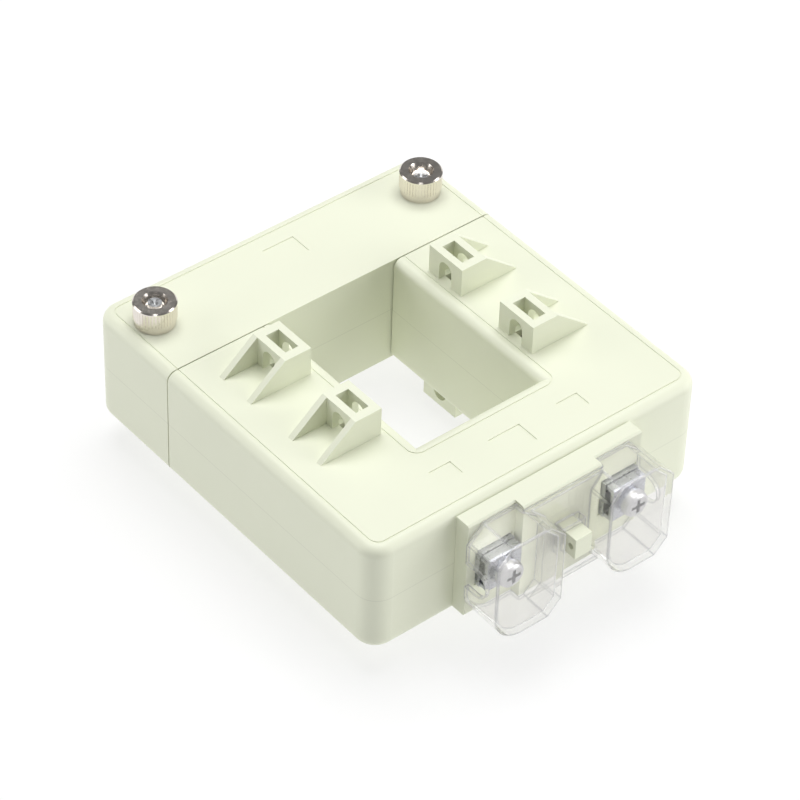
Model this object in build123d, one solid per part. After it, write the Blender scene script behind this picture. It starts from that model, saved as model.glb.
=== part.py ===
from build123d import *
import os
from math import cos, pi, sin

# Split-core current transformer. All sizes are in millimetres.
# Origin: the middle of the conductor window, in the plane that the rear lugs stand on.
# +Z leaves the front face, +Y points at the removable cap, -Y at the secondary terminals.

# Housing: a U-shaped body closed by a straight cap, each moulded as a front and a rear half
WIDTH = 114.0                 # across the cap
BODY_LENGTH = 88.4            # split plane to terminal wall
CAP_LENGTH = 34.0             # split plane to the cap's back
DEPTH = 36.0                  # rear face to front face
WINDOW_WIDTH = 42.5
WINDOW_LENGTH = 61.8
WALL = 2.5
CORNER_RADIUS = 6.5           # upright corners of the housing
EDGE_RADIUS = 3.0             # long outer edges
WINDOW_EDGE_RADIUS = 2.5
SEAM_GAP = 0.4                # between the plastic end faces, where the cores touch
LIP_WALL = 1.1                # lip of the front half, inside the rear half
LIP_HEIGHT = 1.5
LIP_CLEARANCE = 0.15

# Border line and blank marks, shallow recesses in the front face
BORDER_INSET = 3.5
BORDER_WIDTH = 0.4
BORDER_DEPTH = 0.2
SMALL_MARK = (7.2, 5.3)
LARGE_MARK = (10.7, 7.5)
SMALL_MARK_X = 22.0           # middle of a small mark, from the middle plane
MARK_SETBACK = 72.2           # split plane to the far edge of the marks on the body
CAP_MARK_SETBACK = 17.9       # split plane to the near edge of the mark on the cap
MARK_DEPTH = 0.25

# Busbar lugs, two on each limb of both faces
LUG_HEIGHT = 9.3
LUG_WIDTH = 8.8               # across the limb
LUG_LENGTH = 14.0             # along the limb
LUG_FROM_WINDOW = 5.0
LUG_SETBACK = 9.2             # split plane to the first lug
LUG_PITCH = 30.0
LUG_FOOT = 25.2               # window wall to the tip of the gussets
GUSSET = 1.9
NUT_POCKET_WIDTH = 4.3
NUT_POCKET_LENGTH = 8.6
SCREW_SLOT_WIDTH = 5.2
SCREW_SLOT_HEIGHT = 7.2

# Magnetic circuit and windings
CORE_DEPTH = 18.0
CORE_RADIUS = 7.0             # outer corners of the laminations
CORE_CLEARANCE = 0.3
YOKE_GAP = 4.5                # terminal wall's inside to the yoke
YOKE_TO_WINDOW = 4.1          # yoke to the window's front wall
WINDING = 3.2                 # thickness of the winding
BOBBIN_WALL = 1.0
BOBBIN_FLANGE = 1.2
FLANGE_RISE = 0.4             # flange above the winding
BOBBIN_GAP = 0.2              # flange to the limb's inner wall
BOBBIN_SETBACK = 19.0         # split plane to the upper flange
BOBBIN_CORNER = 1.5
WINDING_CORNER = 2.5
CORE_RAIL_SETBACK = 12.4      # split plane to the ribs that carry the core's legs
CAP_CORE_OFFSET = 3.4         # split plane to the back bar of the cap core
CAP_RAIL_SETBACK = 10.3       # rail's front to the cap's rear wall
SPRING_SPACE = 4.8            # between the cap core and the rail behind it
SPRING_THICKNESS = 0.6
SPRING_LENGTH = 30.0
SPRING_WIDTH = 12.0
SPRING_X = 19.0
RAIL = 1.5
RAIL_PAST_SPRING = 2.0
SEAT_GAP = 0.05

# Locking tongues, studs and knurled nuts
STUD_FROM_SIDE = 10.3         # housing's side to the stud
STUD_SETBACK = 19.4           # split plane to the stud
STUD_RADIUS = 2.0
THREAD_CLEARANCE = 0.05
STUD_HOLE_RADIUS = 2.15
STUD_HEAD_ACROSS = 7.0
STUD_HEAD = 2.8
STUD_DIMPLE_RADIUS = 0.9
STUD_DIMPLE_DEPTH = 0.6
LEFT_STUD_DROP = 0.7          # nut's top to the stud's end
RIGHT_STUD_DROP = 1.9
STUD_BOSS = 10.0              # square boss round the stud
TONGUE_WIDTH = 9.0
TONGUE_THICKNESS = 2.5
TONGUE_ROOT = 16.0            # length held in the body
TONGUE_TIP = 25.0             # length in the cap
TONGUE_CORNER = 1.0
TONGUE_CLEARANCE = 0.2
TONGUE_TO_CORE = 0.35
PIN_RADIUS = 1.8
PIN_CLEARANCE = 0.1
PIN_SETBACK = 10.0            # split plane to the pin
PIN_SHORT = 0.3               # pin's end under the tongue's face
PIN_BOSS = 7.0                # square boss under the pin and over it
NUT_RADIUS = 6.15
NUT_HEIGHT = 7.6
NUT_BAND = 1.9                # plain band at the foot
NUT_CHAMFER = 0.4
KNURL_DEPTH = 0.3
KNURL_TEETH = 40
KNURL_RELIEF = 0.05           # the foot lies under the knurl, and the rim over it
NUT_CONE_RADIUS = 3.6
NUT_CONE_FOOT_RADIUS = 2.6
NUT_CONE_DEPTH = 2.0

# Terminal block
BASE_WIDTH = 59.9
BASE_HEIGHT = 32.7
BASE_SHIFT = 0.35             # block's middle to the right of the middle plane
BASE_RISE = 0.55              # block's middle over the parting plane
BASE_THICKNESS = 5.0
MIDDLE_WIDTH = 27.0
MIDDLE_DEPTH = 8.1            # wall to the front of the raised middle
BASE_EDGE = 0.5
HOOK_X = 9.0
HOOK_Z = 8.0                  # from the parting plane
HOOK_WIDTH = 5.0
HOOK_THICKNESS = 1.6
HOOK_BARB = 0.8
HOOK_LAND = 1.0               # length of the barb's flat
HOOK_TAPER = 1.5              # length of the barb's slope
HOOK_CLEARANCE = 0.2
POST_WIDTH = 5.6              # sealing post
POST_HEIGHT = 6.8
POST_X = 0.7
POST_RISE = 1.2               # post's middle over the parting plane
POST_DEPTH = 16.7
SEAL_HOLE_RADIUS = 1.0
SEAL_HOLE_DEPTH = 14.8
LEFT_TERMINAL_X = -20.5
RIGHT_TERMINAL_X = 23.0
PLATE_SIZE = 11.5
PLATE_THICKNESS = 1.8
PLATE_SUNK = 0.3
BUSHING_RADIUS = 3.5
BUSHING_INSIDE = 3.4          # reach behind the wall's inside
BUSHING_CLEARANCE = 0.2
CLAMP_SIZE = 11.0
CLAMP_THICKNESS = 1.2
CLAMP_LIP = 1.7
CLAMP_HOLE_RADIUS = 2.3
CLAMP_CORNER = 0.5
WASHER_RADIUS = 3.6
WASHER_THICKNESS = 1.0
WASHER_SPLIT = 0.8
WASHER_SPLIT_ANGLE = 40.0
SCREW_RADIUS = 2.0
SCREW_LENGTH = 13.0
SCREW_HEAD_RADIUS = 4.0
SCREW_HEAD = 2.6
SCREW_HEAD_RIM = 1.2          # straight part of the head's side
SCREW_HEAD_SHOULDER = (3.7, 2.1)  # radius and height where the head's two slopes meet
SCREW_HEAD_TOP_RADIUS = 3.0
CROSS_WIDTH = 1.1
CROSS_LENGTH = 4.6
CROSS_DEPTH = 1.5

# Clear cover over the terminals
COVER_WALL = 1.4
COVER_GAP = 0.15              # to the block behind it
COVER_DEPTH = 18.0            # wall to the hoods' front
COVER_BELOW_TOP = 0.75        # hoods' top under the block's top
COVER_BELOW_BASE = 0.95       # hoods' bottom under the block's bottom
LEFT_HOOD = (-30.2, -7.2)     # X of each hood's sides, which aren't quite mirror images
RIGHT_HOOD = (8.7, 30.7)
HOOD_CHAMFER = 5.2            # upper corners
RIGHT_HOOD_INNER_CHAMFER = 3.8
HOOD_LOWER_CHAMFER = 4.4      # lower corner on the right of each hood
HOOD_RADIUS = 10.0            # lower corner on the left of each hood
WIRE_ENTRY_WIDTH = 8.2
WIRE_ENTRY_DEPTH = 13.4       # wall to the end of the entry
COLLAR_WALL = 1.2
COLLAR_DEPTH = 12.6
COLLAR_CLEARANCE = 0.15

# Leads inside the body
LEAD_RADIUS = 0.9
LEAD_X = 29.0
LEAD_HEIGHT = 11.8            # over the middle of the core
LEAD_CLEARANCE = 0.4

# Working values
OVERCUT = 1.0                 # how far a cut goes past a face
NEAR = 0.01                   # for finding edges by place

# Planes and places that follow from the sizes above
HALF = DEPTH / 2
MID_Z = LUG_HEIGHT + HALF
FRONT_Z = LUG_HEIGHT + DEPTH
SPLIT_Y = WINDOW_LENGTH / 2
WALL_Y = SPLIT_Y - BODY_LENGTH
BACK_Y = SPLIT_Y + CAP_LENGTH
LIMB_END_Y = SPLIT_Y - SEAM_GAP / 2
CAP_FACE_Y = SPLIT_Y + SEAM_GAP / 2
WINDOW_FRONT_Y = -WINDOW_LENGTH / 2
STUD_X = WIDTH / 2 - STUD_FROM_SIDE
STUD_Y = SPLIT_Y + STUD_SETBACK
CORE_INNER_X = WINDOW_WIDTH / 2 + WALL + BOBBIN_GAP + FLANGE_RISE + WINDING + BOBBIN_WALL + CORE_CLEARANCE
CORE_OUTER_X = STUD_X - TONGUE_WIDTH / 2 - TONGUE_TO_CORE
CORE_WIDTH = CORE_OUTER_X - CORE_INNER_X
LIMB_X = (CORE_INNER_X + CORE_OUTER_X) / 2
YOKE_Y = WALL_Y + WALL + YOKE_GAP
YOKE_INNER_Y = WINDOW_FRONT_Y - WALL - YOKE_TO_WINDOW
LINK_Y = (YOKE_Y + YOKE_INNER_Y) / 2
RAIL_Y = BACK_Y - WALL - CAP_RAIL_SETBACK
CAP_CORE_BACK_Y = RAIL_Y - SPRING_SPACE
LUG_Y = [SPLIT_Y - LUG_SETBACK - LUG_LENGTH / 2 - i * LUG_PITCH for i in range(2)]
PLATE_BACK = BASE_THICKNESS - PLATE_SUNK
PLATE_FRONT = PLATE_BACK + PLATE_THICKNESS
CLAMP_BACK = PLATE_FRONT + CLAMP_LIP + 4 * SEAT_GAP
CLAMP_FRONT = CLAMP_BACK + CLAMP_THICKNESS
WASHER_FRONT = CLAMP_FRONT + SEAT_GAP + WASHER_THICKNESS
BASE_LEFT = BASE_SHIFT - BASE_WIDTH / 2
BASE_RIGHT = BASE_SHIFT + BASE_WIDTH / 2
BASE_TOP = MID_Z + BASE_RISE + BASE_HEIGHT / 2
BASE_BOTTOM = MID_Z + BASE_RISE - BASE_HEIGHT / 2
POST_Z = MID_Z + POST_RISE
COVER_TOP = BASE_TOP - COVER_BELOW_TOP
COVER_BOTTOM = BASE_BOTTOM - COVER_BELOW_BASE


def terminal_x(side):
    return LEFT_TERMINAL_X if side < 0 else RIGHT_TERMINAL_X


def block(x_low, x_high, y_low, y_high, z_low, z_high):
    """A box between six planes."""
    middle = ((x_low + x_high) / 2, (y_low + y_high) / 2, (z_low + z_high) / 2)
    return Pos(*middle) * Box(x_high - x_low, y_high - y_low, z_high - z_low)


def rod(radius, x, y, z_low, z_high):
    """A cylinder along Z."""
    return Pos(x, y, (z_low + z_high) / 2) * Cylinder(radius, z_high - z_low)


def outward(depth):
    """The plane at a depth outside the terminal wall, seen along its outward normal."""
    return Plane(origin=(0, WALL_Y - depth, 0), x_dir=(1, 0, 0), z_dir=(0, -1, 0))


def outward_prism(sketch, depth_low, depth_high):
    """A sketch in X and Z, extruded away from the terminal wall."""
    return extrude(outward(depth_low) * sketch, depth_high - depth_low)


def outward_rod(radius, x, z, depth_low, depth_high):
    return outward_prism(Pos(x, z) * Circle(radius), depth_low, depth_high)


def outward_block(x_low, x_high, z_low, z_high, depth_low, depth_high):
    return block(x_low, x_high, WALL_Y - depth_high, WALL_Y - depth_low, z_low, z_high)


def rectangle(x_low, x_high, y_low, y_high):
    return Pos((x_low + x_high) / 2, (y_low + y_high) / 2) * Rectangle(x_high - x_low, y_high - y_low)


def corners_at(sketch, y):
    return sketch.vertices().filter_by_position(Axis.Y, y - NEAR, y + NEAR)


def body_outline(inset):
    """The body's U, with all its walls set in."""
    half, front, end = WIDTH / 2 - inset, WALL_Y + inset, LIMB_END_Y - inset
    outline = rectangle(-half, half, front, end)
    outline = fillet(corners_at(outline, front), CORNER_RADIUS - inset)
    window_half = WINDOW_WIDTH / 2 + inset
    return outline - rectangle(-window_half, window_half, WINDOW_FRONT_Y - inset, end + OVERCUT)


def cap_outline(inset):
    """The cap's straight block, with all its walls set in."""
    half, back = WIDTH / 2 - inset, BACK_Y - inset
    outline = rectangle(-half, half, CAP_FACE_Y + inset, back)
    return fillet(corners_at(outline, back), CORNER_RADIUS - inset)


def rounded_edges(shape, split_y, window):
    """Rounds the edges of the face at HALF, but not those at the split."""
    def on_face(edge):
        middle = edge.center()
        return middle.Z > HALF - NEAR and abs(middle.Y - split_y) > NEAR

    def at_window(edge):
        middle = edge.center()
        return abs(middle.X) < WINDOW_WIDTH / 2 + NEAR and middle.Y > WINDOW_FRONT_Y - NEAR

    edges = shape.edges().filter_by(on_face)
    if window:
        shape = fillet(edges.filter_by(at_window), WINDOW_EDGE_RADIUS)
        edges = shape.edges().filter_by(on_face).filter_by(
            lambda e: abs(e.center().X) > WIDTH / 2 - CORNER_RADIUS or e.center().Y < WALL_Y + CORNER_RADIUS)
    return fillet(edges, EDGE_RADIUS)


def border(window):
    """The thin line that follows the outside of the closed housing, and the window."""
    def ring(half_x, y_low, y_high, radius):
        def line(grow):
            size = (2 * (half_x + grow), y_high - y_low + 2 * grow)
            return Pos(0, (y_low + y_high) / 2) * RectangleRounded(*size, radius + grow)
        return line(BORDER_WIDTH / 2) - line(-BORDER_WIDTH / 2)

    lines = ring(WIDTH / 2 - BORDER_INSET, WALL_Y + BORDER_INSET, BACK_Y - BORDER_INSET,
                 CORNER_RADIUS - BORDER_INSET)
    if window:
        lines += ring(WINDOW_WIDTH / 2 + BORDER_INSET, WINDOW_FRONT_Y - BORDER_INSET, BACK_Y, BORDER_INSET)
    return Pos(0, 0, HALF - BORDER_DEPTH) * extrude(lines, 2 * BORDER_DEPTH)


def mark(x, y, size):
    """A blank rectangular recess in the face."""
    return Pos(x, y, HALF) * Box(size[0], size[1], 2 * MARK_DEPTH)


def lug(side, y):
    """A nut box beside the window with two gussets that slope down away from it."""
    near = WINDOW_WIDTH / 2 + LUG_FROM_WINDOW
    far, tip, top = near + LUG_WIDTH, WINDOW_WIDTH / 2 + LUG_FOOT, HALF + LUG_HEIGHT
    low, high = y - LUG_LENGTH / 2, y + LUG_LENGTH / 2
    root = HALF - WALL / 2
    shape = block(near, far, low, high, root, top)
    start = far - OVERCUT
    outline = Polyline((start, root), (tip, root), (tip, HALF), (far, top), (start, top), close=True)
    plane = Plane(origin=(0, high, 0), x_dir=(1, 0, 0), z_dir=(0, -1, 0))
    gusset = extrude(plane * make_face(outline), GUSSET)
    shape += gusset + Pos(0, GUSSET - LUG_LENGTH, 0) * gusset
    return shape if side > 0 else mirror(shape, about=Plane.YZ)


def lug_openings(side, y):
    """The nut pocket, the arched screw slot through the box, and the shut-off hole under it."""
    near = WINDOW_WIDTH / 2 + LUG_FROM_WINDOW
    middle = near + LUG_WIDTH / 2
    pocket_half, slot_half = NUT_POCKET_WIDTH / 2, SCREW_SLOT_WIDTH / 2
    pocket = block(middle - pocket_half, middle + pocket_half, y - NUT_POCKET_LENGTH / 2,
                   y + NUT_POCKET_LENGTH / 2, HALF, HALF + LUG_HEIGHT + OVERCUT)
    straight = SCREW_SLOT_HEIGHT - slot_half
    slot = block(near - OVERCUT, near + LUG_WIDTH + OVERCUT, y - slot_half, y + slot_half, HALF, HALF + straight)
    arch = Cylinder(slot_half, LUG_WIDTH + 2 * OVERCUT)
    slot += Pos(middle, y, HALF + straight) * Rot(0, 90, 0) * arch
    hole = block(middle - pocket_half, middle + pocket_half, y - slot_half, y + slot_half,
                 HALF - WALL - OVERCUT, HALF + OVERCUT)
    shape = pocket + slot + hole
    return shape if side > 0 else mirror(shape, about=Plane.YZ)


def lip(outline, is_front):
    """The lip under the front half's parting face, or the rebate for it in the rear half."""
    if is_front:
        return Pos(0, 0, -LIP_HEIGHT) * extrude(outline(WALL - LIP_WALL) - outline(WALL), 2 * LIP_HEIGHT)
    rebate = outline(WALL - LIP_WALL - LIP_CLEARANCE) - outline(WALL + LIP_CLEARANCE)
    return extrude(rebate, LIP_HEIGHT + LIP_CLEARANCE)


def pole_openings(y_low, y_high):
    """Holes for the core legs and the tongues in the end walls at the split."""
    shape = Part()
    deep = LIP_HEIGHT + OVERCUT
    core_half, core_top = CORE_WIDTH / 2 + CORE_CLEARANCE, CORE_DEPTH / 2 + CORE_CLEARANCE
    tongue_half = TONGUE_WIDTH / 2 + TONGUE_CLEARANCE
    tongue_top = TONGUE_THICKNESS / 2 + TONGUE_CLEARANCE
    for side in (-1, 1):
        shape += block(side * LIMB_X - core_half, side * LIMB_X + core_half, y_low, y_high, -deep, core_top)
        shape += block(side * STUD_X - tongue_half, side * STUD_X + tongue_half, y_low, y_high, -deep, tongue_top)
    return shape


def tongue_seats(is_front):
    """Bosses that hold the tongues; the rear half's carry a pin through each tongue."""
    shape = Part()
    seat, half = TONGUE_THICKNESS / 2, PIN_BOSS / 2
    for side in (-1, 1):
        x, y = side * STUD_X, SPLIT_Y - PIN_SETBACK
        shape += block(x - half, x + half, y - half, y + half, seat, HALF - WALL / 2)
        if not is_front:
            shape += rod(PIN_RADIUS, x, y, PIN_SHORT - seat, seat)
    return shape


def body_half(is_front):
    """Half of the body's moulding, with its parting face at Z = 0 and its outer face at Z = HALF."""
    shape = rounded_edges(extrude(body_outline(0), HALF), LIMB_END_Y, True)
    shape -= extrude(body_outline(WALL), HALF - WALL)
    if is_front:
        shape += lip(body_outline, True)
    else:
        shape -= lip(body_outline, False)
    shape += tongue_seats(is_front)
    core_top = CORE_DEPTH / 2 + CORE_CLEARANCE
    notch = LEAD_RADIUS + LEAD_CLEARANCE
    for x in (-LIMB_X / 2, 0, LIMB_X / 2):
        for low, high in ((YOKE_Y, LINK_Y - notch), (LINK_Y + notch, YOKE_INNER_Y)):
            shape += block(x - RAIL / 2, x + RAIL / 2, low, high, core_top, HALF - WALL / 2)
    for side in (-1, 1):
        x, y = side * LIMB_X, SPLIT_Y - CORE_RAIL_SETBACK
        shape += block(x - CORE_WIDTH / 2, x + CORE_WIDTH / 2, y, y + RAIL, core_top, HALF - WALL / 2)
        for y in LUG_Y:
            shape += lug(side, y)
            shape -= lug_openings(side, y)
        terminal = Pos(terminal_x(side), 0) * Circle(BUSHING_RADIUS + BUSHING_CLEARANCE)
        shape -= outward_prism(terminal, -WALL - OVERCUT, OVERCUT)
        hook_half = HOOK_WIDTH / 2 + HOOK_CLEARANCE
        shape -= outward_block(side * HOOK_X - hook_half, side * HOOK_X + hook_half, HOOK_Z - HOOK_CLEARANCE,
                               HOOK_Z + HOOK_THICKNESS + HOOK_BARB + HOOK_CLEARANCE, -WALL - OVERCUT, OVERCUT)
    shape -= pole_openings(LIMB_END_Y - WALL - OVERCUT, SPLIT_Y)
    if is_front:
        shape -= border(True)
        y = SPLIT_Y - MARK_SETBACK
        for side in (-1, 1):
            shape -= mark(side * SMALL_MARK_X, y - SMALL_MARK[1] / 2, SMALL_MARK)
        shape -= mark(0, y - LARGE_MARK[1] / 2, LARGE_MARK)
    return shape


def cap_half(is_front):
    """Half of the cap's moulding, in the same way."""
    shape = rounded_edges(extrude(cap_outline(0), HALF), CAP_FACE_Y, False)
    shape -= extrude(cap_outline(WALL), HALF - WALL)
    if is_front:
        shape += lip(cap_outline, True)
    else:
        shape -= lip(cap_outline, False)
    rail_half = SPRING_X + SPRING_LENGTH / 2 + RAIL_PAST_SPRING
    rail_bottom = SEAT_GAP if is_front else 0
    shape += block(-rail_half, rail_half, RAIL_Y, RAIL_Y + RAIL, rail_bottom, HALF - WALL / 2)
    core_top = CORE_DEPTH / 2 + CORE_CLEARANCE
    for x in (-SPRING_X - SPRING_LENGTH / 2, 0, SPRING_X + SPRING_LENGTH / 2):
        y_end = BACK_Y - WALL - LIP_CLEARANCE
        foot = LIP_HEIGHT + 2 * LIP_CLEARANCE
        shape += block(x - RAIL / 2, x + RAIL / 2, RAIL_Y, y_end, foot, HALF - WALL / 2)
        shape += block(x - RAIL / 2, x + RAIL / 2, y_end, BACK_Y - WALL / 2, foot + WALL, HALF - WALL / 2)
        shape += block(x - RAIL / 2, x + RAIL / 2, SPLIT_Y + CAP_CORE_OFFSET, CAP_CORE_BACK_Y, core_top,
                       HALF - WALL / 2)
    boss_foot = TONGUE_THICKNESS / 2 + TONGUE_CLEARANCE
    boss_half = STUD_BOSS / 2
    for side in (-1, 1):
        x = side * STUD_X
        shape += block(x - boss_half, x + boss_half, STUD_Y - boss_half, STUD_Y + boss_half,
                       boss_foot, HALF - WALL / 2)
        shape -= rod(STUD_HOLE_RADIUS, x, STUD_Y, -OVERCUT, HALF + OVERCUT)
        if not is_front:
            head = Pos(x, STUD_Y, HALF - STUD_HEAD - TONGUE_CLEARANCE)
            hexagon = RegularPolygon((STUD_HEAD_ACROSS + 2 * TONGUE_CLEARANCE) / 2, 6, major_radius=False)
            shape -= head * extrude(hexagon, STUD_HEAD + OVERCUT)
    shape -= pole_openings(SPLIT_Y, CAP_FACE_Y + WALL + OVERCUT)
    if is_front:
        shape -= border(False)
        shape -= mark(0, SPLIT_Y + CAP_MARK_SETBACK + LARGE_MARK[1] / 2, LARGE_MARK)
    return shape


def placed(half, is_front):
    """Puts a half shell at its height, turned over for the rear."""
    return Pos(0, 0, MID_Z) * (half if is_front else mirror(half, about=Plane.XY))


def u_core():
    outline = rectangle(-CORE_OUTER_X, CORE_OUTER_X, YOKE_Y, SPLIT_Y)
    outline = fillet(corners_at(outline, YOKE_Y), CORE_RADIUS)
    outline -= rectangle(-CORE_INNER_X, CORE_INNER_X, YOKE_INNER_Y, SPLIT_Y + OVERCUT)
    return Pos(0, 0, MID_Z - CORE_DEPTH / 2) * extrude(outline, CORE_DEPTH)


def cap_core():
    outline = rectangle(-CORE_OUTER_X, CORE_OUTER_X, SPLIT_Y, CAP_CORE_BACK_Y)
    outline = fillet(corners_at(outline, CAP_CORE_BACK_Y), CORE_RADIUS)
    outline -= rectangle(-CORE_INNER_X, CORE_INNER_X, SPLIT_Y - OVERCUT, SPLIT_Y + CAP_CORE_OFFSET)
    return Pos(0, 0, MID_Z - CORE_DEPTH / 2) * extrude(outline, CORE_DEPTH)


def tube_on_limb(side, y_low, y_high, inner, outer, corner):
    """A rectangular tube round a limb of the core; inner and outer are distances from the core."""
    plane = Plane(origin=(side * LIMB_X, y_high, MID_Z), x_dir=(1, 0, 0), z_dir=(0, -1, 0))
    outside = Rectangle(CORE_WIDTH + 2 * outer, CORE_DEPTH + 2 * outer)
    outside = chamfer(outside.vertices(), corner)
    inside = Rectangle(CORE_WIDTH + 2 * inner, CORE_DEPTH + 2 * inner)
    return extrude(plane * (outside - inside), y_high - y_low)


def bobbin(side):
    low, high = YOKE_INNER_Y + CORE_CLEARANCE, SPLIT_Y - BOBBIN_SETBACK
    wall = CORE_CLEARANCE + BOBBIN_WALL
    rim = wall + WINDING + FLANGE_RISE
    shape = tube_on_limb(side, low, high, CORE_CLEARANCE, wall, BOBBIN_WALL / 2)
    shape += tube_on_limb(side, low, low + BOBBIN_FLANGE, CORE_CLEARANCE, rim, BOBBIN_CORNER)
    return shape + tube_on_limb(side, high - BOBBIN_FLANGE, high, CORE_CLEARANCE, rim, BOBBIN_CORNER)


def winding(side):
    low, high = YOKE_INNER_Y + CORE_CLEARANCE + BOBBIN_FLANGE, SPLIT_Y - BOBBIN_SETBACK - BOBBIN_FLANGE
    wall = CORE_CLEARANCE + BOBBIN_WALL
    return tube_on_limb(side, low + SEAT_GAP, high - SEAT_GAP, wall + SEAT_GAP, wall + WINDING, WINDING_CORNER)


def cap_core_springs():
    """Two bowed leaf springs between the rail and the cap core."""
    ends, crown = RAIL_Y - SEAT_GAP, CAP_CORE_BACK_Y + SEAT_GAP
    springs = []
    for side in (-1, 1):
        low, middle, high = side * SPRING_X - SPRING_LENGTH / 2, side * SPRING_X, side * SPRING_X + SPRING_LENGTH / 2
        back = ThreePointArc((low, ends), (middle, crown + SPRING_THICKNESS), (high, ends))
        front = ThreePointArc((low, ends - SPRING_THICKNESS), (middle, crown), (high, ends - SPRING_THICKNESS))
        sides = [Line(back @ 0, front @ 0), Line(back @ 1, front @ 1)]
        strip = make_face([back, front] + sides)
        springs.append(Pos(0, 0, MID_Z - SPRING_WIDTH / 2) * extrude(strip, SPRING_WIDTH))
    return Compound(springs)


def tongue(side):
    """A steel strip pinned in the limb, with an open fork that straddles the stud."""
    x, fork = side * STUD_X, STUD_HOLE_RADIUS + THREAD_CLEARANCE
    low, high = SPLIT_Y - TONGUE_ROOT, SPLIT_Y + TONGUE_TIP
    outline = rectangle(x - TONGUE_WIDTH / 2, x + TONGUE_WIDTH / 2, low, high)
    outline = chamfer(outline.vertices(), TONGUE_CORNER)
    outline -= rectangle(x - fork, x + fork, STUD_Y, high + OVERCUT) + Pos(x, STUD_Y) * Circle(fork)
    outline -= Pos(x, SPLIT_Y - PIN_SETBACK) * Circle(PIN_RADIUS + PIN_CLEARANCE)
    return Pos(0, 0, MID_Z - TONGUE_THICKNESS / 2) * extrude(outline, TONGUE_THICKNESS)


def stud(side, drop):
    """A hexagon-head screw let into the cap's rear face, its end just under the nut's top."""
    x, foot = side * STUD_X, LUG_HEIGHT + TONGUE_CLEARANCE / 2
    end = FRONT_Z + NUT_HEIGHT - drop
    head = extrude(RegularPolygon(STUD_HEAD_ACROSS / 2, 6, major_radius=False), STUD_HEAD)
    shape = Pos(x, STUD_Y, foot) * head + rod(STUD_RADIUS, x, STUD_Y, foot, end)
    dimple = Cone(0, STUD_DIMPLE_RADIUS, STUD_DIMPLE_DEPTH)
    return shape - Pos(x, STUD_Y, end - STUD_DIMPLE_DEPTH / 2) * dimple


def knurled_nut(side):
    """A high knurled nut: plain foot band, straight knurl, bright top chamfer and a coned mouth."""
    root = NUT_RADIUS - KNURL_DEPTH
    rim_foot = NUT_HEIGHT - 2 * NUT_CHAMFER
    points = []
    for i in range(2 * KNURL_TEETH):
        radius = NUT_RADIUS if i % 2 else root
        points.append((radius * cos(i * pi / KNURL_TEETH), radius * sin(i * pi / KNURL_TEETH)))
    knurl = Pos(0, 0, NUT_BAND) * extrude(make_face(Polyline(*points, close=True)), rim_foot - NUT_BAND)
    rim = rod(NUT_RADIUS + KNURL_RELIEF, 0, 0, rim_foot, NUT_HEIGHT)
    rim = chamfer(rim.edges().sort_by(Axis.Z)[-1], NUT_CHAMFER)
    shape = knurl + rod(root - KNURL_RELIEF, 0, 0, 0, NUT_BAND) + rim
    shape -= rod(STUD_RADIUS + THREAD_CLEARANCE, 0, 0, -OVERCUT, NUT_HEIGHT + OVERCUT)
    mouth = Cone(NUT_CONE_FOOT_RADIUS, NUT_CONE_RADIUS, NUT_CONE_DEPTH)
    shape -= Pos(0, 0, NUT_HEIGHT - NUT_CONE_DEPTH / 2) * mouth
    return Pos(side * STUD_X, STUD_Y, FRONT_Z + SEAT_GAP) * shape


def terminal_base():
    """Block behind the cover: plate, raised middle, sealing post, and hooks through the wall."""
    low, high = BASE_BOTTOM, BASE_TOP
    shape = outward_block(BASE_LEFT, BASE_RIGHT, low, high, SEAT_GAP, BASE_THICKNESS)
    shape += outward_block(-MIDDLE_WIDTH / 2, MIDDLE_WIDTH / 2, low, high, BASE_THICKNESS / 2, MIDDLE_DEPTH)
    rims = shape.edges().filter_by(lambda e: e.center().Y < WALL_Y - BASE_THICKNESS + NEAR
                                   and (abs(e.center().Z - low) < NEAR or abs(e.center().Z - high) < NEAR))
    shape = chamfer(rims.filter_by(Axis.X), BASE_EDGE)
    half_x, half_z = POST_WIDTH / 2, POST_HEIGHT / 2
    shape += outward_block(POST_X - half_x, POST_X + half_x, POST_Z - half_z, POST_Z + half_z, BASE_THICKNESS,
                           POST_DEPTH)
    hole = Pos(POST_X, WALL_Y - SEAL_HOLE_DEPTH, POST_Z) * Rot(0, 90, 0)
    shape -= hole * Cylinder(SEAL_HOLE_RADIUS, 2 * POST_WIDTH)
    plate_half = PLATE_SIZE / 2 + CLAMP_CORNER
    for side in (-1, 1):
        x = terminal_x(side)
        shape -= outward_rod(BUSHING_RADIUS + BUSHING_CLEARANCE / 2, x, MID_Z, -OVERCUT, BASE_THICKNESS + OVERCUT)
        shape -= outward_block(x - plate_half, x + plate_half, MID_Z - plate_half, MID_Z + plate_half,
                               PLATE_BACK, BASE_THICKNESS + OVERCUT)
        for up in (-1, 1):
            root, inside, outside = BASE_THICKNESS / 4, HOOK_Z, HOOK_Z + HOOK_THICKNESS
            catch = -WALL - HOOK_CLEARANCE
            flat_end = catch - HOOK_LAND
            tip = flat_end - HOOK_TAPER
            outline = Polyline((root, inside), (root, outside), (catch, outside), (catch, outside + HOOK_BARB),
                               (flat_end, outside + HOOK_BARB), (tip, outside), (tip, inside), close=True)
            plane = Plane(origin=(side * HOOK_X - HOOK_WIDTH / 2, WALL_Y, MID_Z), x_dir=(0, -1, 0), z_dir=(1, 0, 0))
            hook = extrude(plane * mirror(make_face(outline), about=Plane.XZ), HOOK_WIDTH)
            shape += hook if up > 0 else mirror(hook, about=Plane.XY.offset(MID_Z))
    return shape


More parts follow.
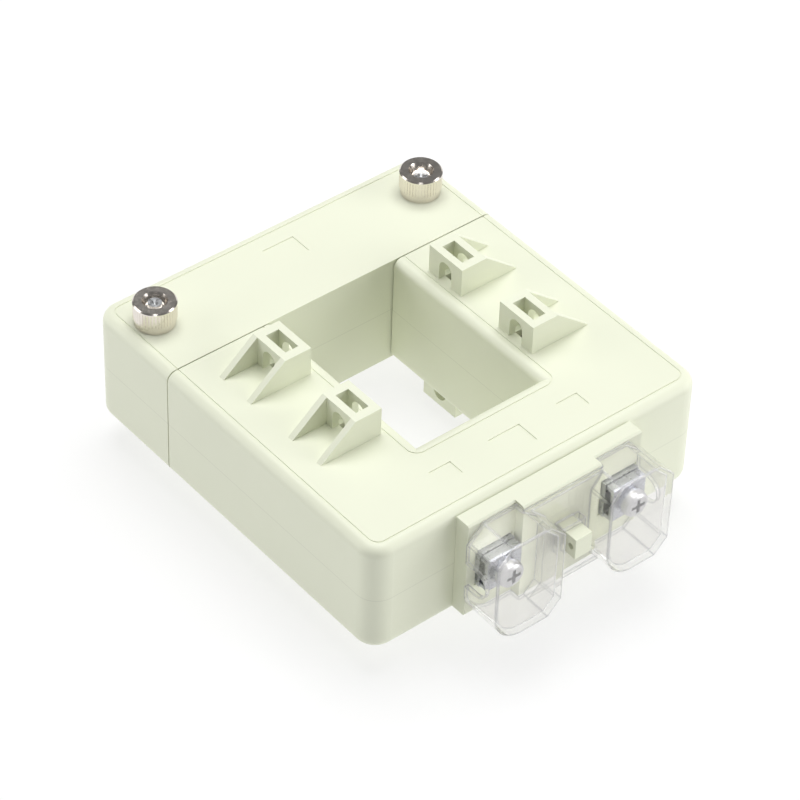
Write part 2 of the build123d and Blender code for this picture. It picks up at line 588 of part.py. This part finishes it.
def terminal_plate(side):
    """A square contact plate with a threaded bushing that goes through the block and the wall."""
    x, half = terminal_x(side), PLATE_SIZE / 2
    shape = outward_block(x - half, x + half, MID_Z - half, MID_Z + half, PLATE_BACK + SEAT_GAP, PLATE_FRONT)
    inside = -WALL - BUSHING_INSIDE
    shape += outward_rod(BUSHING_RADIUS, x, MID_Z, inside, PLATE_FRONT)
    hole = SCREW_RADIUS + THREAD_CLEARANCE
    return shape - outward_rod(hole, x, MID_Z, inside - OVERCUT, PLATE_FRONT + OVERCUT)


def clamp_plate(side):
    """A square plate whose upper and lower edges turn back towards the contact plate."""
    x, half = terminal_x(side), CLAMP_SIZE / 2
    shape = outward_block(x - half, x + half, MID_Z - half, MID_Z + half, CLAMP_BACK - CLAMP_LIP, CLAMP_FRONT)
    inner = half - CLAMP_THICKNESS
    shape -= outward_block(x - half - OVERCUT, x + half + OVERCUT, MID_Z - inner, MID_Z + inner, 0, CLAMP_BACK)
    folds = shape.edges().filter_by(Axis.X).filter_by(lambda e: e.center().Y < WALL_Y - CLAMP_FRONT + NEAR)
    shape = fillet(folds, CLAMP_CORNER)
    return shape - outward_rod(CLAMP_HOLE_RADIUS, x, MID_Z, 0, CLAMP_FRONT + OVERCUT)


def spring_washer(side):
    x = terminal_x(side)
    shape = outward_prism(Pos(x, MID_Z) * (Circle(WASHER_RADIUS) - Circle(CLAMP_HOLE_RADIUS)),
                          CLAMP_FRONT + SEAT_GAP, WASHER_FRONT)
    split = block(-WASHER_SPLIT / 2, WASHER_SPLIT / 2, -2 * WASHER_THICKNESS, 2 * WASHER_THICKNESS,
                  0, 2 * WASHER_RADIUS)
    place = Pos(x, WALL_Y - (CLAMP_FRONT + WASHER_FRONT) / 2, MID_Z) * Rot(0, WASHER_SPLIT_ANGLE, 0)
    return shape - place * split


def terminal_screw(side):
    """A cross-head pan screw."""
    x, seat = terminal_x(side), WASHER_FRONT + SEAT_GAP
    shoulder_radius, shoulder = SCREW_HEAD_SHOULDER
    profile = Polyline((0, seat - SCREW_LENGTH), (SCREW_RADIUS, seat - SCREW_LENGTH), (SCREW_RADIUS, seat),
                       (SCREW_HEAD_RADIUS, seat), (SCREW_HEAD_RADIUS, seat + SCREW_HEAD_RIM),
                       (shoulder_radius, seat + shoulder), (SCREW_HEAD_TOP_RADIUS, seat + SCREW_HEAD),
                       (0, seat + SCREW_HEAD), close=True)
    shape = revolve(Plane.XZ * make_face(profile), Axis.Z)
    cross = Rectangle(CROSS_LENGTH, CROSS_WIDTH) + Rectangle(CROSS_WIDTH, CROSS_LENGTH)
    shape -= Pos(0, 0, seat + SCREW_HEAD - CROSS_DEPTH) * extrude(cross, CROSS_DEPTH)
    return Pos(x, WALL_Y, MID_Z) * Rot(90, 0, 0) * shape


def hood_outline(left, right, upper_left):
    """A hood's outline seen from the terminals: three chamfered corners and a round one, lower left."""
    points = [(left + upper_left, COVER_TOP), (right - HOOD_CHAMFER, COVER_TOP), (right, COVER_TOP - HOOD_CHAMFER),
              (right, COVER_BOTTOM + HOOD_LOWER_CHAMFER), (right - HOOD_LOWER_CHAMFER, COVER_BOTTOM),
              (left, COVER_BOTTOM), (left, COVER_TOP - HOOD_CHAMFER)]
    face = make_face(Polyline(*points, close=True))
    corner = face.vertices().sort_by_distance((left, COVER_BOTTOM))[0]
    return fillet(corner, HOOD_RADIUS)


def terminal_cover():
    """One clear moulding: two hoods, the web between them and the collar round the sealing post."""
    back, front = BASE_THICKNESS + COVER_GAP, COVER_DEPTH
    web_back = MIDDLE_DEPTH + COVER_GAP
    hoods, cavities = Part(), Part()
    for outline in (hood_outline(*LEFT_HOOD, HOOD_CHAMFER), hood_outline(*RIGHT_HOOD, RIGHT_HOOD_INNER_CHAMFER)):
        hoods += outward_prism(outline, back, front)
        inside = offset(outline, -COVER_WALL, kind=Kind.INTERSECTION)
        cavities += outward_prism(inside, back - OVERCUT, front - COVER_WALL)
    half = MIDDLE_WIDTH / 2
    shape = hoods - outward_block(-half - COVER_GAP, half + COVER_GAP, COVER_BOTTOM - OVERCUT,
                                  COVER_TOP + OVERCUT, back - OVERCUT, web_back)
    shape += outward_block(-half, half, COVER_BOTTOM, COVER_TOP, web_back, web_back + COVER_WALL)
    shape -= cavities
    x_half, z_half = POST_WIDTH / 2 + COLLAR_CLEARANCE, POST_HEIGHT / 2 + COLLAR_CLEARANCE
    shape += outward_block(POST_X - x_half - COLLAR_WALL, POST_X + x_half + COLLAR_WALL,
                           POST_Z - z_half - COLLAR_WALL, POST_Z + z_half + COLLAR_WALL, web_back, COLLAR_DEPTH)
    shape -= outward_block(POST_X - x_half, POST_X + x_half, POST_Z - z_half, POST_Z + z_half,
                           web_back - OVERCUT, COLLAR_DEPTH + OVERCUT)
    radius = WIRE_ENTRY_WIDTH / 2
    bend = WIRE_ENTRY_DEPTH - radius
    reach = COVER_WALL + OVERCUT
    for x in (LEFT_HOOD[0], RIGHT_HOOD[1]):
        shape -= outward_block(x - reach, x + reach, MID_Z - radius, MID_Z + radius, back - OVERCUT, bend)
        shape -= Pos(x, WALL_Y - bend, MID_Z) * Rot(0, 90, 0) * Cylinder(radius, 2 * reach)
    return shape


def wire(points):
    """An insulated wire along straight runs, in eight facets, bent sharply between them."""
    path = Polyline(*points)
    start = Plane(origin=path @ 0, z_dir=path % 0)
    return sweep(start * RegularPolygon(LEAD_RADIUS, 8), path=path, transition=Transition.RIGHT)


def secondary_leads():
    """One lead from each coil to its bushing in front of the core, and the link between the coils behind it."""
    flange_y = YOKE_INNER_Y + CORE_CLEARANCE - SEAT_GAP
    bushing_y = WALL_Y + WALL + BUSHING_INSIDE / 2
    wires = []
    for side in (-1, 1):
        wires.append(wire([
            (side * LEAD_X, flange_y, MID_Z + LEAD_HEIGHT), (side * LEAD_X, LINK_Y, MID_Z + LEAD_HEIGHT),
            (terminal_x(side), bushing_y, MID_Z + LEAD_HEIGHT),
            (terminal_x(side), bushing_y, MID_Z + BUSHING_RADIUS + SEAT_GAP)]))
    wires.append(wire([(-LEAD_X, flange_y, MID_Z - LEAD_HEIGHT), (-LEAD_X, LINK_Y, MID_Z - LEAD_HEIGHT),
                       (LEAD_X, LINK_Y, MID_Z - LEAD_HEIGHT), (LEAD_X, flange_y, MID_Z - LEAD_HEIGHT)]))
    return Compound(wires)


def all_nodes():
    nodes = {
        "body_front_shell": placed(body_half(True), True),
        "body_rear_shell": placed(body_half(False), False),
        "cap_front_shell": placed(cap_half(True), True),
        "cap_rear_shell": placed(cap_half(False), False),
        "u_core": u_core(),
        "cap_core": cap_core(),
        "cap_core_springs": cap_core_springs(),
        "terminal_base": terminal_base(),
        "terminal_cover": terminal_cover(),
        "secondary_leads": secondary_leads(),
    }
    for name, side, drop in (("left", -1, LEFT_STUD_DROP), ("right", 1, RIGHT_STUD_DROP)):
        nodes[name + "_bobbin"] = bobbin(side)
        nodes[name + "_winding"] = winding(side)
        nodes[name + "_tongue"] = tongue(side)
        nodes[name + "_stud"] = stud(side, drop)
        nodes[name + "_knurled_nut"] = knurled_nut(side)
        nodes[name + "_terminal_plate"] = terminal_plate(side)
        nodes[name + "_clamp_plate"] = clamp_plate(side)
        nodes[name + "_spring_washer"] = spring_washer(side)
        nodes[name + "_terminal_screw"] = terminal_screw(side)
    return nodes


os.makedirs("parts", exist_ok=True)
for node, shape in all_nodes().items():
    export_step(shape, "parts/" + node + ".step")
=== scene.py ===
import math

import bpy
from mathutils import Matrix, Vector

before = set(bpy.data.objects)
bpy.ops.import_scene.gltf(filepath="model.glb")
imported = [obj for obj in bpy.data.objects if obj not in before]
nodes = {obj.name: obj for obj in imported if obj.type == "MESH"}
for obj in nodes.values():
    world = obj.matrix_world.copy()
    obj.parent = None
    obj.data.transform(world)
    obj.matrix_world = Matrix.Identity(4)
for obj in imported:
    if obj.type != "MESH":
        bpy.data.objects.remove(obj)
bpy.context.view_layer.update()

# Lengths are in metres, angles in degrees, and colours are linear

# The camera, fitted to the photo
CAMERA_POSITION = Vector((-0.4763, -0.5557, 0.6919))
CAMERA_AZIMUTH = -40.54
CAMERA_ELEVATION = 42.26
CAMERA_ROLL = 2.11
LENS_MM = 162.3
SENSOR_MM = 36.0
CLIP_START = 0.05

# Colours
WHITE = (1.0, 1.0, 1.0)
HOUSING = (0.80, 0.825, 0.665)
NICKEL = (0.80, 0.75, 0.69)
BRIGHT_NICKEL = (0.50, 0.51, 0.56)
SCREW_NICKEL = (0.62, 0.62, 0.64)
ZINC = (0.60, 0.61, 0.62)
SPRING = (0.33, 0.34, 0.36)
LAMINATION = (0.24, 0.245, 0.26)
# Dark-brown enamel, made darker still as a painted shade for the lug pockets it is seen
# through
DARK_ENAMEL_AND_POCKET_SHADE = (0.20, 0.065, 0.025)
NYLON = (0.72, 0.71, 0.66)
RED_PVC = (0.55, 0.02, 0.015)
CLEAR = (0.935, 0.93, 0.92)
# Painted on the cover's edges: a grey shade beside them and a white highlight on them
CLEAR_EDGE_PAINTED_SHADE = (0.30, 0.30, 0.34)
CLEAR_GLINT = (0.98, 0.98, 0.98)

# Shades of those colours, as factors
BLOCK_SHADE = 0.98
PARTING_PAINTED_SHADE = 0.90
FLOW_SHADES = (0.985, 1.015)
CLOUD_SHADES = (0.97, 1.03)
SHEET_GAP_SHADE = 0.5
TURN_GAP_SHADE = 0.35
DULL_SHADE = 0.93

# Roughness, from and to
SATIN = (0.40, 0.50)
GLASSY = (0.01, 0.03)
SHEET_ROUGHNESS = (0.35, 0.6)
ENAMEL_ROUGHNESS = (0.2, 0.35)
DULL = (0.35, 0.5)
FLOOR_ROUGHNESS = 0.9

# Noise in the finishes, in waves in a metre
FLOW = 22.0
SATIN_PATCHES = 300.0
GLASSY_PATCHES = 90.0
METAL_CLOUD = 240.0
METAL_PATCHES = 900.0
SHEET_PATCHES = 400.0
ENAMEL_PATCHES = 500.0
DULL_CLOUD = 60.0
DULL_PATCHES = 500.0

# Relief too fine for the solids: waves in a metre, and its height
COOLING_WAVES = (60.0, 0.00003)
ERODED_GRAIN = (2600.0, 0.0000035)
CLEAR_WAVES = (110.0, 0.00002)
DULL_GRAIN = (1500.0, 0.000004)
SHEET = 0.00035
SHEET_RELIEF = 0.00004
SHEET_WAVINESS = 0.4
WIRE = 0.0005
WIRE_RELIEF = 0.00015
WIRE_WAVINESS = 0.15

# The faint line where the housing's halves meet, a painted shade of the seam
PARTING_HEIGHT = 0.0273
PARTING_LINE = 0.0003

# The clear cover: its edges are rounded, with a painted grey shade beside the edge and a
# painted white highlight on it, where the cover is also made milky
CLEAR_EDGE = 0.0009
CLEAR_PAINTED_EDGE_RAMP = (
    (0.0, CLEAR),
    (0.2, CLEAR_EDGE_PAINTED_SHADE),
    (0.4, CLEAR_EDGE_PAINTED_SHADE),
    (0.55, CLEAR_GLINT),
)
CLEARNESS = (0.95, 0.3)
CLEARNESS_FALLS = (0.42, 0.58)
BEND = 1.06
SHINE = 1.5
SHINE_ROUGHNESS = 0.03
BEVEL_SAMPLES = 6
TURNED_COSINE = 0.75

# Metals: colour, roughness from and to, waves of the grain in a metre, and its height
METALS = {
    "nickel": (NICKEL, (0.16, 0.24), 1200.0, 0.000001),
    "zinc_steel": (ZINC, (0.22, 0.38), 1500.0, 0.000005),
    "terminal_metal": (BRIGHT_NICKEL, (0.24, 0.36), 900.0, 0.000004),
    "screw_metal": (SCREW_NICKEL, (0.30, 0.42), 900.0, 0.000004),
    "spring_steel": (SPRING, (0.25, 0.4), 1500.0, 0.000004),
}

# Floor and surround, as radiances
FLOOR_SIZE = 8.0
FLOOR_COLOUR = (0.3, 0.3, 0.3)
FLOOR_GLOW = 0.70
GLOW_GROWS = (0.35, 0.9)
SURROUND = 0.15
BACKDROP = 1.0

# Softboxes: name, place, size and watts
LIGHT_AIM = (0.0, 0.0, 0.03)
SOFTBOXES = (
    ("top_light", (0.16, 0.19, 1.0), 0.8, 9.4),
    ("left_light", (-0.9, 0.75, 0.4), 0.8, 4.3),
    ("right_light", (0.85, -0.85, 0.4), 0.8, 8.2),
    ("glint_light", (-0.50, -0.62, 0.95), 0.25, 0.5),
)


class Shader:
    """A short way to write a node material."""

    def __init__(self, name):
        self.material = bpy.data.materials.new(name)
        self.material.use_nodes = True
        self.tree = self.material.node_tree
        self.surface = self.tree.nodes["Principled BSDF"]
        self.place = self.add("ShaderNodeTexCoord").outputs["Object"]

    def add(self, kind, **settings):
        node = self.tree.nodes.new(kind)
        for key, value in settings.items():
            setattr(node, key, value)
        return node

    def link(self, start, end):
        self.tree.links.new(start, end)

    def feed(self, value, name):
        """Links a value that varies to one of the surface's sockets."""
        self.link(value, self.surface.inputs[name])

    def set(self, **values):
        """Uniform values, straight on the surface's sockets."""
        for key, value in values.items():
            socket = self.surface.inputs[key.replace("_", " ")]
            socket.default_value = (*value, 1.0) if isinstance(value, tuple) else value

    def noise(self, scale, detail=2.0):
        node = self.add("ShaderNodeTexNoise")
        node.inputs["Scale"].default_value = scale
        node.inputs["Detail"].default_value = detail
        self.link(self.place, node.inputs["Vector"])
        return node.outputs["Fac"]

    def bands(self, scale, axis, distortion):
        """Straight bands along one axis, scale of them in a metre."""
        node = self.add("ShaderNodeTexWave", wave_type="BANDS", bands_direction=axis)
        # The wave texture makes one band in pi/10 of a unit
        node.inputs["Scale"].default_value = scale * math.pi / 10
        node.inputs["Distortion"].default_value = distortion
        self.link(self.place, node.inputs["Vector"])
        return node.outputs["Fac"]

    def calculate(self, operation, *values):
        """A math node; each value is a socket or a number."""
        node = self.add("ShaderNodeMath", operation=operation)
        for socket, value in zip(node.inputs, values):
            if isinstance(value, float):
                socket.default_value = value
            else:
                self.link(value, socket)
        return node.outputs["Value"]

    def spread(self, value, low, high, low_in=0.3, high_in=0.7):
        """Maps a value to a range; noise lies mostly between 0.3 and 0.7."""
        node = self.add("ShaderNodeMapRange")
        node.inputs["From Min"].default_value = low_in
        node.inputs["From Max"].default_value = high_in
        node.inputs["To Min"].default_value = low
        node.inputs["To Max"].default_value = high
        self.link(value, node.inputs["Value"])
        return node.outputs["Result"]

    def near_height(self, height, width):
        """1 on the plane at a height, and 0 from half a width off."""
        axes = self.add("ShaderNodeSeparateXYZ")
        self.link(self.place, axes.inputs["Vector"])
        rise = self.calculate("SUBTRACT", axes.outputs["Z"], height)
        return self.spread(self.calculate("ABSOLUTE", rise), 1.0, 0.0, width / 4, width / 2)

    def from_middle(self):
        """The distance from the object's own origin."""
        node = self.add("ShaderNodeVectorMath", operation="LENGTH")
        self.link(self.place, node.inputs[0])
        return node.outputs["Value"]

    def colours(self, value, *stops):
        """A colour ramp; each stop is a place and a colour."""
        node = self.add("ShaderNodeValToRGB")
        ramp = node.color_ramp
        while len(ramp.elements) < len(stops):
            ramp.elements.new(1.0)
        for element, (place, colour) in zip(ramp.elements, stops):
            element.position = place
            element.color = (*colour, 1.0)
        self.link(value, node.inputs["Fac"])
        return node.outputs["Color"]

    def rounded(self, radius):
        """The normal as if every edge had this radius, and how far it turns from the face."""
        bevel = self.add("ShaderNodeBevel", samples=BEVEL_SAMPLES)
        bevel.inputs["Radius"].default_value = radius
        flat = self.add("ShaderNodeNewGeometry").outputs["True Normal"]
        turn = self.add("ShaderNodeVectorMath", operation="DOT_PRODUCT")
        self.link(bevel.outputs["Normal"], turn.inputs[0])
        self.link(flat, turn.inputs[1])
        edge = self.spread(turn.outputs["Value"], 0.0, 1.0, 1.0, TURNED_COSINE)
        return bevel.outputs["Normal"], edge

    def bump(self, *layers, normal=None):
        """Heights on top of each other; each layer is a value and its height."""
        for value, height in layers:
            node = self.add("ShaderNodeBump")
            node.inputs["Strength"].default_value = 1.0
            node.inputs["Distance"].default_value = height
            self.link(value, node.inputs["Height"])
            if normal:
                self.link(normal, node.inputs["Normal"])
            normal = node.outputs["Normal"]
        self.feed(normal, "Normal")


def shade(colour, factor):
    return tuple(c * factor for c in colour)


def moulded_plastic(name, colour, painted_seam_shade=False):
    """Satin moulded plastic: faint flow shades, slow waves from cooling, eroded grain, and a
    painted seam shade if asked.
    """
    s = Shader(name)
    flow = s.noise(FLOW, detail=3.0)
    # A painted shade along the seam: the flow drops to the darkest stop on the line where the
    # halves meet
    if painted_seam_shade:
        flow = s.calculate("SUBTRACT", flow, s.near_height(PARTING_HEIGHT, PARTING_LINE))
    low, high = FLOW_SHADES
    s.feed(s.colours(flow, (0.0, shade(colour, PARTING_PAINTED_SHADE)), (0.3, shade(colour, low)),
                     (0.7, shade(colour, high))), "Base Color")
    s.feed(s.spread(s.noise(SATIN_PATCHES, detail=4.0), *SATIN), "Roughness")
    s.set(Specular_IOR_Level=0.42)
    waves, cooling = COOLING_WAVES
    grain, depth = ERODED_GRAIN
    s.bump((s.noise(waves), cooling), (s.noise(grain, detail=3.0), depth))
    return s.material


def clear_plastic():
    """Clear moulded polycarbonate: light bends a little in it, its faces shine, and its edges
    carry a painted shade and a painted highlight.
    """
    s = Shader("clear_cover")
    s.set(Transmission_Weight=1.0, IOR=BEND)
    s.set(Coat_Weight=1.0, Coat_IOR=SHINE, Coat_Roughness=SHINE_ROUGHNESS)
    s.feed(s.spread(s.noise(GLASSY_PATCHES), *GLASSY), "Roughness")
    normal, edge = s.rounded(CLEAR_EDGE)
    # Painted shade and highlight from the edge mask: grey beside each edge, white on it
    s.feed(s.colours(edge, *CLEAR_PAINTED_EDGE_RAMP), "Base Color")
    s.feed(s.spread(edge, *CLEARNESS, *CLEARNESS_FALLS), "Transmission Weight")
    waves, height = CLEAR_WAVES
    s.bump((s.noise(waves, detail=1.0), height), normal=normal)
    s.feed(normal, "Coat Normal")
    return s.material


def plated_metal(name):
    """Plated metal with a fine uneven finish."""
    colour, roughness, grain, depth = METALS[name]
    s = Shader(name)
    cloud = s.noise(METAL_CLOUD, detail=4.0)
    low, high = CLOUD_SHADES
    s.feed(s.colours(cloud, (0.3, shade(colour, low)), (0.7, shade(colour, high))),
           "Base Color")
    s.feed(s.spread(s.noise(METAL_PATCHES, detail=3.0), *roughness), "Roughness")
    s.set(Metallic=1.0)
    s.bump((s.noise(grain), depth))
    return s.material


def laminations():
    """Stacked electrical steel on edge, its sheets a little uneven."""
    s = Shader("core_steel")
    sheets = s.bands(1 / SHEET, "Z", SHEET_WAVINESS)
    s.feed(s.colours(sheets, (0.15, shade(LAMINATION, SHEET_GAP_SHADE)), (0.6, LAMINATION)),
           "Base Color")
    s.feed(s.spread(s.noise(SHEET_PATCHES), *SHEET_ROUGHNESS), "Roughness")
    s.set(Metallic=0.9)
    s.bump((sheets, SHEET_RELIEF))
    return s.material


def copper_turns():
    """Enamelled copper wire wound close round the limb."""
    s = Shader("winding")
    turns = s.bands(1 / WIRE, "Y", WIRE_WAVINESS)
    # The wire's colour is partly real enamel and partly painted shade, darkened so the pockets
    # look dark
    s.feed(s.colours(turns, (0.1, shade(DARK_ENAMEL_AND_POCKET_SHADE, TURN_GAP_SHADE)), (0.5, DARK_ENAMEL_AND_POCKET_SHADE)),
           "Base Color")
    s.feed(s.spread(s.noise(ENAMEL_PATCHES), *ENAMEL_ROUGHNESS), "Roughness")
    s.set(Metallic=0.85)
    s.bump((turns, WIRE_RELIEF))
    return s.material


def dull_plastic(name, colour):
    s = Shader(name)
    cloud = s.noise(DULL_CLOUD, detail=3.0)
    s.feed(s.colours(cloud, (0.3, shade(colour, DULL_SHADE)), (0.7, colour)), "Base Color")
    s.feed(s.spread(s.noise(DULL_PATCHES), *DULL), "Roughness")
    grain, depth = DULL_GRAIN
    s.bump((s.noise(grain), depth))
    return s.material


def pale_floor():
    """Matt white with a glow, which grows outward to make up for the softboxes' light."""
    s = Shader("floor")
    s.set(Base_Color=FLOOR_COLOUR, Roughness=FLOOR_ROUGHNESS, Specular_IOR_Level=0.0)
    s.set(Emission_Color=WHITE)
    s.feed(s.spread(s.from_middle(), FLOOR_GLOW, BACKDROP, *GLOW_GROWS), "Emission Strength")
    return s.material


def dress(material, *names):
    """Gives CAD nodes their finish."""
    for name in names:
        slots = nodes[name].data.materials
        slots.clear()
        slots.append(material)


def both(name):
    return ["left_" + name, "right_" + name]


def make_materials():
    housing = moulded_plastic("housing", HOUSING, painted_seam_shade=True)
    dress(housing, "body_front_shell", "body_rear_shell", "cap_front_shell", "cap_rear_shell")
    dress(moulded_plastic("terminal_block", shade(HOUSING, BLOCK_SHADE)), "terminal_base")
    dress(clear_plastic(), "terminal_cover")
    dress(plated_metal("nickel"), *both("knurled_nut"))
    dress(plated_metal("zinc_steel"), *both("stud"), *both("tongue"))
    dress(plated_metal("terminal_metal"),
          *both("terminal_plate"), *both("clamp_plate"), *both("spring_washer"))
    dress(plated_metal("screw_metal"), *both("terminal_screw"))
    dress(laminations(), "u_core", "cap_core")
    dress(plated_metal("spring_steel"), "cap_core_springs")
    dress(copper_turns(), *both("winding"))
    dress(dull_plastic("bobbin", NYLON), *both("bobbin"))
    dress(dull_plastic("lead_insulation", RED_PVC), "secondary_leads")


def make_camera():
    """The camera at the photo's place, turned about its own axis by the photo's roll."""
    azimuth, elevation = math.radians(CAMERA_AZIMUTH), math.radians(CAMERA_ELEVATION)
    back = Vector((math.sin(azimuth) * math.cos(elevation),
                   -math.cos(azimuth) * math.cos(elevation),
                   math.sin(elevation)))
    right = Vector((0, 0, 1)).cross(back).normalized()
    up = back.cross(right)
    roll = Matrix.Rotation(math.radians(CAMERA_ROLL), 3, back)
    turn = Matrix((roll @ right, roll @ up, back)).transposed().to_4x4()
    data = bpy.data.cameras.new("camera")
    data.lens = LENS_MM
    data.sensor_width = SENSOR_MM
    data.clip_start = CLIP_START
    camera = bpy.data.objects.new("camera", data)
    camera.matrix_world = Matrix.Translation(CAMERA_POSITION) @ turn
    bpy.context.scene.collection.objects.link(camera)
    bpy.context.scene.camera = camera


def softbox(name, place, size, power):
    """A square area light at a place, turned to the object."""
    data = bpy.data.lights.new(name, "AREA")
    data.size = size
    data.energy = power
    light = bpy.data.objects.new(name, data)
    direction = Vector(LIGHT_AIM) - Vector(place)
    light.rotation_euler = direction.to_track_quat("-Z", "Y").to_euler()
    light.location = place
    bpy.context.scene.collection.objects.link(light)


def make_surround():
    """A surround that lights dimly, but is as pale as the floor where it is seen.

    It also counts as seen through the clear cover.
    """
    world = bpy.data.worlds.new("surround")
    world.use_nodes = True
    tree = world.node_tree
    background = tree.nodes["Background"]
    background.inputs["Color"].default_value = (*WHITE, 1.0)
    paths = tree.nodes.new("ShaderNodeLightPath")
    seen = tree.nodes.new("ShaderNodeMath")
    seen.operation = "MAXIMUM"
    tree.links.new(paths.outputs["Is Camera Ray"], seen.inputs[0])
    tree.links.new(paths.outputs["Is Transmission Ray"], seen.inputs[1])
    strength = tree.nodes.new("ShaderNodeMapRange")
    strength.inputs["To Min"].default_value = SURROUND
    strength.inputs["To Max"].default_value = BACKDROP
    tree.links.new(seen.outputs["Value"], strength.inputs["Value"])
    tree.links.new(strength.outputs["Result"], background.inputs["Strength"])
    bpy.context.scene.world = world


def make_studio():
    """A pale floor, soft light from above and both sides, and a small light for the glints."""
    bpy.ops.mesh.primitive_plane_add(size=FLOOR_SIZE, location=(0, 0, 0))
    floor = bpy.context.object
    floor.name = "floor"
    floor.data.materials.append(pale_floor())

    for name, place, size, power in SOFTBOXES:
        softbox(name, place, size, power)
    make_surround()
    bpy.context.scene.view_settings.view_transform = "Standard"


make_materials()
make_camera()
make_studio()
